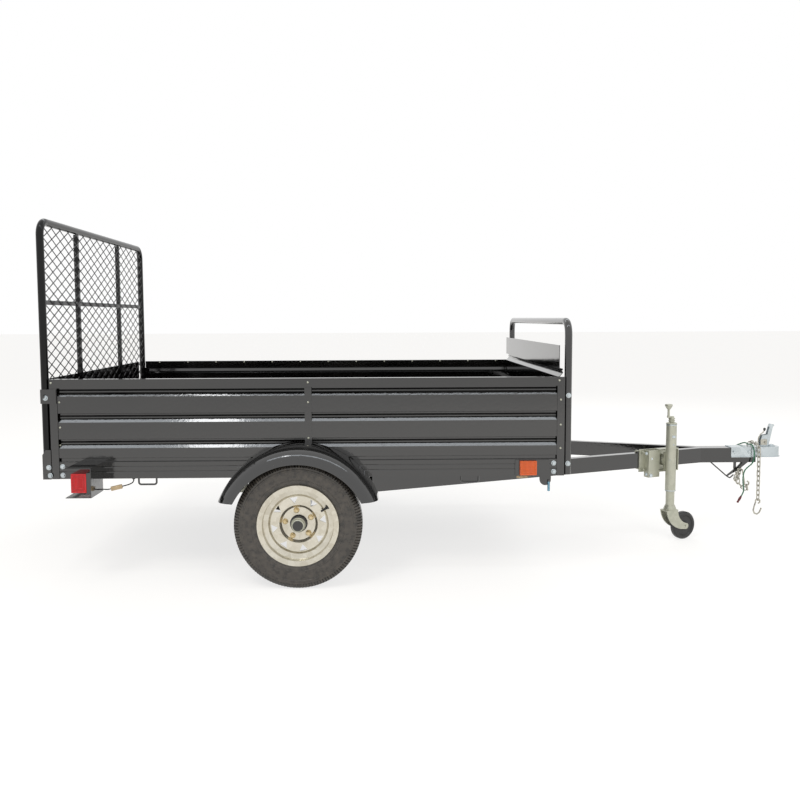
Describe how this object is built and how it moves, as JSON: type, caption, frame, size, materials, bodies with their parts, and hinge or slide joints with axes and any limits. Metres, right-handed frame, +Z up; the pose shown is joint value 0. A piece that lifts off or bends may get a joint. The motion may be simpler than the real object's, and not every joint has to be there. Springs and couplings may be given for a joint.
{
  "type": "utility trailer",
  "caption": "Single-axle utility trailer with ribbed steel sides, a folding mesh ramp gate, round fenders, an A-frame tongue, a ball coupler and a swing-up jack with a caster wheel.",
  "frame": {"origin": "on the ground under the middle of the trailer's box", "axes": "+X forward to the coupler, +Y to the left side, +Z up"},
  "size_m": [3.548, 1.9836, 1.551],
  "materials": {
    "amber_lens": "clear amber lens",
    "black_paint": "gloss black powder coat",
    "cable_black": "soft sheath",
    "galvanised_rim": "bright galvanised",
    "galvanised_steel": "dull galvanised",
    "plug_plastic": "moulded plug",
    "red_lens": "clear red lens",
    "roller_rubber": "matt black",
    "tyre_rubber": "matt rubber with fine shoulder ribs",
    "zinc_plate": "zinc plated"
  },
  "bodies": {
    "trailer": {"axle": "black_paint", "coupler": "zinc_plate", "coupler_lever": "zinc_plate", "crossmembers": "black_paint", "deck": "black_paint", "fender_left": "black_paint", "fender_right": "black_paint", "frame_rail_left": "black_paint", "frame_rail_right": "black_paint", "gate_brackets_left": "black_paint", "gate_brackets_right": "black_paint", "harness_lead": "cable_black", "harness_plug": "plug_plastic", "headboard_hoop": "black_paint", "headboard_panel": "black_paint", "jack_bracket": "galvanised_steel", "jack_clamps": "galvanised_steel", "lamp_connectors": "plug_plastic", "lamp_guard_left": "black_paint", "lamp_guard_right": "black_paint", "lamp_lead_left": "cable_black", "lamp_lead_right": "cable_black", "lead_grommets": "cable_black", "leaf_spring_left": "black_paint", "leaf_spring_right": "black_paint", "safety_chain_gathered": "zinc_plate", "safety_chain_hung": "zinc_plate", "side_frame_left": "black_paint", "side_frame_right": "black_paint", "side_marker_bases": "black_paint", "side_markers": "amber_lens", "side_panel_left": "black_paint", "side_panel_right": "black_paint", "spring_clamps": "black_paint", "spring_hangers": "galvanised_steel", "tail_lamp_lenses": "red_lens", "tie_loops": "black_paint", "tilt_lugs": "black_paint", "tongue_rail_left": "black_paint", "tongue_rail_right": "black_paint", "tongue_skid": "black_paint"},
    "gate": {"gate_frame": "black_paint", "gate_braces": "black_paint", "gate_mesh": "black_paint"},
    "wheel_right_body": {"tyre_right": "tyre_rubber", "rim_right": "galvanised_rim", "hub_right": "black_paint"},
    "wheel_left_body": {"tyre_left": "tyre_rubber", "rim_left": "galvanised_rim", "hub_left": "black_paint"},
    "jack": {"jack_swivel": "galvanised_steel", "jack_tube": "galvanised_steel", "jack_crank": "galvanised_steel"},
    "jack_inner": {"jack_leg": "galvanised_steel"},
    "jack_caster_body": {"jack_fork": "galvanised_steel"},
    "jack_roller": {"jack_wheel": "roller_rubber"}
  },
  "joints": [
    {"name": "tailgate", "type": "hinge", "parent": "trailer", "child": "gate", "pos_m": [-1.758, 0, 0.455], "axis": [0, -1, 0], "range_deg": [0, 113.5]},
    {"name": "wheel_right", "type": "hinge", "parent": "trailer", "child": "wheel_right_body", "pos_m": [-0.674, -0.896, 0.2675], "axis": [0, 1, 0], "continuous": true},
    {"name": "wheel_left", "type": "hinge", "parent": "trailer", "child": "wheel_left_body", "pos_m": [-0.674, 0.896, 0.2675], "axis": [0, 1, 0], "continuous": true},
    {"name": "jack_swing", "type": "hinge", "parent": "trailer", "child": "jack", "pos_m": [1.126, -0.21596, 0.4017], "axis": [-0.3792, 0.9253, 0], "range_deg": [0, 90]},
    {"name": "jack_lift", "type": "slide", "parent": "jack", "child": "jack_inner", "axis": [0, 0, -1], "range_m": [-0.06, 0.17]},
    {"name": "jack_caster", "type": "hinge", "parent": "jack_inner", "child": "jack_caster_body", "pos_m": [1.126, -0.21596, 0.158], "axis": [0, 0, 1], "range_deg": [-180, 180]},
    {"name": "jack_wheel", "type": "hinge", "parent": "jack_caster_body", "child": "jack_roller", "pos_m": [1.20373, -0.18411, 0.07], "axis": [0.3792, -0.9253, 0], "continuous": true}
  ]
}
